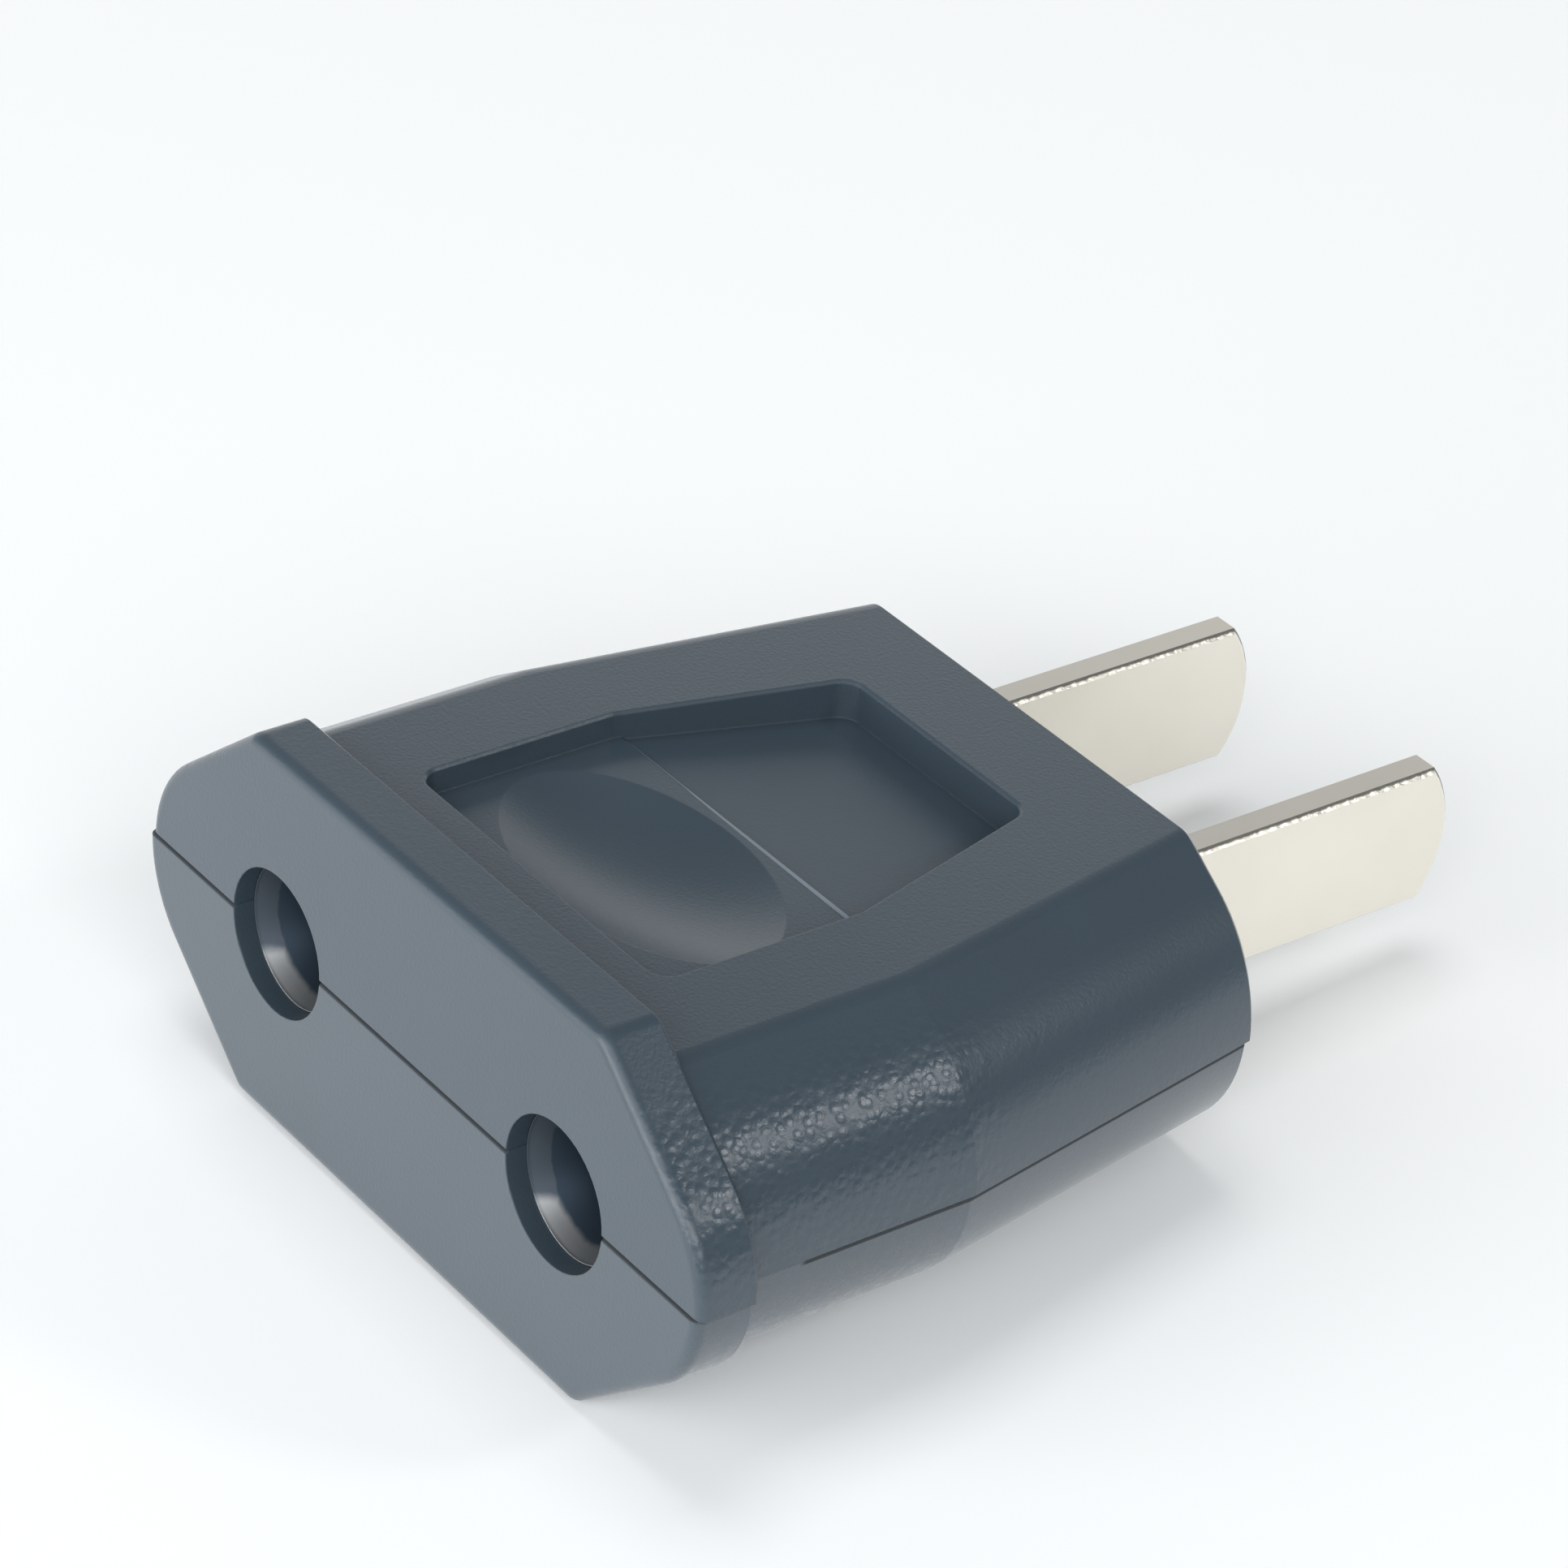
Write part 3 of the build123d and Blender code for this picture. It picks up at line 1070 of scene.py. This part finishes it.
@dataclass
class Housing:
    """The two moulded shells, which come from different tools.

    The lower shell is glossier and smoother than the upper one. Its paler colour is painted
    light: it stands for the light that the pale table throws up onto the lower half.
    """

    nodes: Mapping[str, bpy.types.Object]
    upper: MouldedAbs = MouldedAbs()
    lower: MouldedAbs = MouldedAbs(
        name="moulded_black_abs_lower_table_lit",
        # Paler colours: painted light from the table below.
        colour="#39464F",
        worn_colour="#3D4A55",
        specular=0.6,
        dot_height=0.001 * MM,
        pebble_height=0.002 * MM,
    )

    def dress(self) -> None:
        """Gives each shell its moulded finish."""
        dress_piece(self.nodes["upper_shell"], self.upper.material())
        dress_piece(self.nodes["lower_shell"], self.lower.material())


@dataclass(frozen=True)
class GripRidge:
    """Low bead across the recess, where the level floor under the thumb ends.

    Its pale colour is a painted highlight along the crest.
    """

    place: float = 14.9 * MM
    floor: float = 5.75 * MM
    half_length: float = 8.06 * MM
    half_width: float = 0.11 * MM
    half_height: float = 0.1 * MM
    sunk: float = 0.02 * MM
    far_drop: float = 0.11 * MM
    squareness: int = 40
    steps: int = 48
    turns: int = 24
    # Pale colours: a painted highlight along the bead's crest.
    finish: MouldedAbs = MouldedAbs(
        name="bead_highlight_abs", colour="#6E7983", worn_colour="#7F8A93"
    )

    def points(self) -> np.ndarray:
        """Works out the bead's surface as a long closed bar with an elliptic section.

        For s from -1 to 1 along the bead and t once around it, x is the half length times s, and
        y and z go round an ellipse. The ellipse's size is the square root of one minus s to the
        power of the squareness, so the bar keeps its section and closes at both ends, inside the
        walls. Its middle drops evenly towards s = -1, so the bead fades into the floor there.

        Returns:
            The rings of points, one after the other, and then the points at both ends.
        """
        s = np.sin(np.linspace(-np.pi / 2, np.pi / 2, self.steps + 2))[1:-1, None]
        t = np.linspace(0, 2 * np.pi, self.turns, endpoint=False)[None, :]
        size = np.sqrt(1 - s**self.squareness)
        drop = self.far_drop * (1 - s) / 2
        rings = np.stack(
            np.broadcast_arrays(
                self.half_length * s,
                self.half_width * size * np.cos(t),
                self.half_height * size * np.sin(t) - drop,
            ),
            axis=-1,
        )
        ends = np.array([[-self.half_length, 0, -self.far_drop], [self.half_length, 0, 0]])
        middle = np.array([0.0, self.place, self.floor - self.sunk])
        return np.concatenate([rings.reshape(-1, 3), ends]) + middle

    def faces(self) -> list[list[int]]:
        """Joins each ring to the next by quads, and the outer rings to the end points by triangles.

        Returns:
            Vertex numbers of each face.
        """
        ring, turn = np.meshgrid(np.arange(self.steps - 1), np.arange(self.turns), indexing="ij")
        here = ring * self.turns + turn
        beside = ring * self.turns + (turn + 1) % self.turns
        sides = np.stack([here, beside, beside + self.turns, here + self.turns], axis=-1)
        around = np.arange(self.turns)
        following = (around + 1) % self.turns
        last_ring = (self.steps - 1) * self.turns
        tip = np.full(self.turns, self.steps * self.turns)
        start = np.stack([tip, following, around], axis=-1)
        stop = np.stack([tip + 1, last_ring + around, last_ring + following], axis=-1)
        return sides.reshape(-1, 4).tolist() + start.tolist() + stop.tolist()

    def build(self) -> bpy.types.Object:
        """Builds the bead on the floor of the recess.

        Returns:
            The bead's object.
        """
        bead = smooth_object("grip_ridge", self.points(), self.faces())
        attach(bead, "root")
        return bead

    def dress(self, bead: bpy.types.Object) -> None:
        """Gives the bead its pale finish, a painted highlight."""
        dress_piece(bead, self.finish.material())


@dataclass(frozen=True)
class MouthFerrule:
    """Thin flared eyelet that lines the mouth of a sleeve and guides the pin in.

    Its front lip lies in the hole of the socket face, and its back thins out on the sleeve's bore.
    The shoulder, the seat and the tail are the outside's corners, each as depth and radius.
    """

    pin_place: float = 9.5 * MM
    front: float = 0.9 * MM
    back: float = 3.1 * MM
    mouth_radius: float = 3.0 * MM
    throat_radius: float = 2.0 * MM
    lip_radius: float = 0.04 * MM
    flare: float = 1.3
    shoulder: tuple[float, float] = (1.38 * MM, 3.08 * MM)
    seat: tuple[float, float] = (1.44 * MM, 2.87 * MM)
    tail: tuple[float, float] = (3.1 * MM, 2.014 * MM)
    bell_steps: int = 24
    lip_steps: int = 9
    turns: int = 96
    finish: ShadedEyelet = ShadedEyelet()

    def section(self) -> np.ndarray:
        """Works out the eyelet's section as a closed loop.

        Along the bell, u goes from 1 at the throat to 0 at the mouth. The radius is the throat's,
        plus the widening times 1 - u to the power of the flare. A half circle makes the lip, and
        three corners lead back along the outside.

        Returns:
            Depth and radius of each point of the loop.
        """
        u = np.linspace(1, 0, self.bell_steps)
        lip_turn = np.linspace(0, np.pi, self.lip_steps)[1:]
        start = self.front + self.lip_radius
        widening = self.mouth_radius - self.throat_radius
        bell = [
            start + (self.back - start) * u,
            self.throat_radius + widening * (1 - u) ** self.flare,
        ]
        lip = [
            start - self.lip_radius * np.sin(lip_turn),
            self.mouth_radius + self.lip_radius * (1 - np.cos(lip_turn)),
        ]
        outside = [self.shoulder, self.seat, self.tail]
        return np.concatenate([np.stack(bell, axis=-1), np.stack(lip, axis=-1), outside])

    def build(self, side: Side) -> bpy.types.Object:
        """Carries the section round the axis of a pin.

        For t once round the axis, x is the axis plus the radius times cos t, y is the depth, and z
        is the radius times sin t.

        Args:
            side: Contact that the eyelet belongs to.

        Returns:
            The eyelet's object.
        """
        section = self.section()
        depth, radius = section[:, :1], section[:, 1:]
        t = np.linspace(0, 2 * np.pi, self.turns, endpoint=False)[None, :]
        x = side.sign * self.pin_place + radius * np.cos(t)
        points = np.stack(np.broadcast_arrays(x, depth, radius * np.sin(t)), axis=-1)
        ring, turn = np.meshgrid(np.arange(len(section)), np.arange(self.turns), indexing="ij")
        after, beside = (ring + 1) % len(section), (turn + 1) % self.turns
        corners = [(ring, turn), (after, turn), (after, beside), (ring, beside)]
        faces = np.stack([i * self.turns + j for i, j in corners], axis=-1)
        ferrule = smooth_object(
            f"{side.value}_mouth_ferrule", points.reshape(-1, 3), faces.reshape(-1, 4).tolist()
        )
        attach(ferrule, "root")
        return ferrule

    def dress(self, ferrules: Sequence[bpy.types.Object]) -> None:
        """Gives the eyelets one finish.

        Args:
            ferrules: The eyelets' objects.
        """
        material = self.finish.material()
        for ferrule in ferrules:
            dress_piece(ferrule, material)


@dataclass
class Contact:
    """One blade with its spring sleeve and rivet."""

    nodes: Mapping[str, bpy.types.Object]
    side: Side

    def dress(self, metals: Mapping[str, bpy.types.Material]) -> None:
        """Gives the contact's three pieces their metals.

        Args:
            metals: Metal of the blade, of the sleeve and of the rivet, by the piece's name.
        """
        for piece, material in metals.items():
            dress_piece(self.nodes[f"{self.side.value}_{piece}"], material)


@dataclass(frozen=True)
class SoftBox:
    """A soft rectangular lamp that points at the adapter."""

    name: str
    azimuth: float
    elevation: float
    distance: float
    width: float
    height: float
    level: float
    colour: str = "#FFFFFF"
    glints: bool = True

    def build(self, aim: Vector) -> None:
        """Hangs the lamp.

        Its power is the level times pi squared times the squared distance, so a white surface
        that faces the lamp is lit to that level.

        Args:
            aim: Point that the lamp faces.
        """
        lamp = bpy.data.lights.new(self.name, "AREA")
        lamp.shape = "RECTANGLE"
        lamp.size = self.width
        lamp.size_y = self.height
        lamp.color = linear(self.colour)[:3]
        lamp.energy = self.level * (math.pi * self.distance) ** 2
        holder = bpy.data.objects.new(self.name, lamp)
        towards = direction(self.azimuth, self.elevation)
        holder.location = aim + towards * self.distance
        holder.rotation_euler = towards.to_track_quat("Z", "Y").to_euler()
        holder.visible_camera = False
        holder.visible_glossy = self.glints
        bpy.context.scene.collection.objects.link(holder)


@dataclass(frozen=True)
class Studio:
    """Table, lamps and surroundings.

    The flange's and the nose's lower edges, on which the adapter lies, are given as y and z.
    """

    floor_reach: float = 0.42
    flange_rest: tuple[float, float] = (2.45 * MM, -8.4 * MM)
    nose_rest: tuple[float, float] = (28.9 * MM, -6.9 * MM)
    room_colour: str = "#F6FAFC"
    room_level: float = 0.2
    seen_level: float = 0.97
    shiny_level: float = 0.25
    table: PaleTable = PaleTable()
    lamps: tuple[SoftBox, ...] = (
        SoftBox(
            "key_panel", azimuth=60, elevation=31, distance=0.9, width=0.85, height=0.43, level=0.57
        ),
        SoftBox(
            "front_panel", azimuth=0, elevation=25, distance=0.9, width=0.94, height=0.61, level=0.47
        ),
        SoftBox(
            "back_wall", azimuth=-125, elevation=14, distance=0.6, width=1.4, height=0.42, level=0.5
        ),
        SoftBox(
            "ceiling_panel",
            azimuth=-90,
            elevation=80,
            distance=0.9,
            width=0.4,
            height=0.4,
            level=0.23,
            glints=False,
        ),
        SoftBox(
            "low_card", azimuth=-12, elevation=5, distance=0.4, width=0.4, height=0.06, level=0.44
        ),
        SoftBox(
            "side_glow", azimuth=130, elevation=37, distance=0.6, width=0.09, height=0.09, level=0.115
        ),
    )

    def build_floor(self) -> None:
        """Builds the table top as a plane on which the adapter lies.

        The surface is z = z0 + slope * (y - y0) at the corners of a square in x and y. It goes
        through the lower edges of the flange and of the nose.
        """
        (flange_y, flange_z), (nose_y, nose_z) = self.flange_rest, self.nose_rest
        slope = (nose_z - flange_z) / (nose_y - flange_y)
        ends = [-self.floor_reach, self.floor_reach]
        x, y = np.meshgrid(ends, ends)
        points = np.stack([x, y, flange_z + slope * (y - flange_y)], axis=-1).reshape(-1, 3)
        floor = smooth_object("table_top", points, [[0, 1, 3, 2]])
        floor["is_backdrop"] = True
        dress_piece(floor, self.table.material())

    def build_room(self) -> None:
        """Surrounds the adapter with a pale room.

        It fills the shadows dimly. The camera sees it white, and shiny pieces see it a little
        brighter than the light that it gives.
        """
        world = bpy.data.worlds.new("pale_room")
        world.use_nodes = True
        tree = world.node_tree
        tree.nodes.clear()
        camera, shiny = ray_kinds(tree)
        unseen = add_node(
            tree,
            "ShaderNodeMapRange",
            {"Value": shiny, "To Min": self.room_level, "To Max": self.shiny_level},
        )
        level = add_node(
            tree, "ShaderNodeMix", {0: camera, 2: unseen.outputs[0], 3: self.seen_level}
        )
        room = add_node(
            tree,
            "ShaderNodeBackground",
            {"Color": linear(self.room_colour), "Strength": level.outputs[0]},
        )
        add_node(tree, "ShaderNodeOutputWorld", {"Surface": room.outputs[0]})
        bpy.context.scene.world = world

    def build(self, aim: Vector) -> None:
        """Builds the table, the room and the lamps.

        Args:
            aim: Middle of the adapter, which the lamps face.
        """
        self.build_floor()
        self.build_room()
        for lamp in self.lamps:
            lamp.build(aim)
        LOG.info("%d lamps", len(self.lamps))


@dataclass(frozen=True)
class Viewpoint:
    """The photograph's camera, fitted to the pin holes, the blades and the housing's edges."""

    azimuth: float = 50.877
    elevation: float = 31.873
    roll: float = 5.18
    distance: float = 237.721 * MM
    target: Triple = (-9.168 * MM, 24.294 * MM, 0.0)
    focal_pixels: float = 7146.5
    image_pixels: float = 1932.0
    sensor_width: float = 36.0
    clip_start: float = 10 * MM

    def build(self) -> None:
        """Places the camera and makes it the scene's own."""
        back = direction(self.azimuth, self.elevation)
        right = Vector((0, 0, 1)).cross(back).normalized()
        level = Matrix((right, back.cross(right), back)).transposed()
        camera = bpy.data.cameras.new("viewpoint")
        camera.sensor_width = self.sensor_width
        camera.lens = self.sensor_width * self.focal_pixels / self.image_pixels
        camera.clip_start = self.clip_start
        holder = bpy.data.objects.new("viewpoint", camera)
        holder.matrix_world = (level @ Matrix.Rotation(math.radians(self.roll), 3, "Z")).to_4x4()
        holder.location = Vector(self.target) + back * self.distance
        bpy.context.scene.collection.objects.link(holder)
        bpy.context.scene.camera = holder


def main() -> None:
    """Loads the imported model, dresses it and sets the scene."""
    logging.basicConfig(level=logging.INFO, format="%(name)s: %(message)s")
    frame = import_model()
    cad_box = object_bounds()
    nodes = frame["nodes"]
    bpy.context.scene.view_settings.view_transform = "Standard"
    Housing(nodes).dress()
    ridge = GripRidge()
    ridge.dress(ridge.build())
    metals = {
        "blade": PlatedBrass().material(),
        "pin_sleeve": ShadedSleeve().material(),
        "rivet": TumbledBrass().material(),
    }
    for side in Side:
        Contact(nodes, side).dress(metals)
    ferrule = MouthFerrule()
    ferrule.dress([ferrule.build(side) for side in Side])
    Studio().build((cad_box[0] + cad_box[1]) / 2)
    Viewpoint().build()


if __name__ == "__main__":
    main()
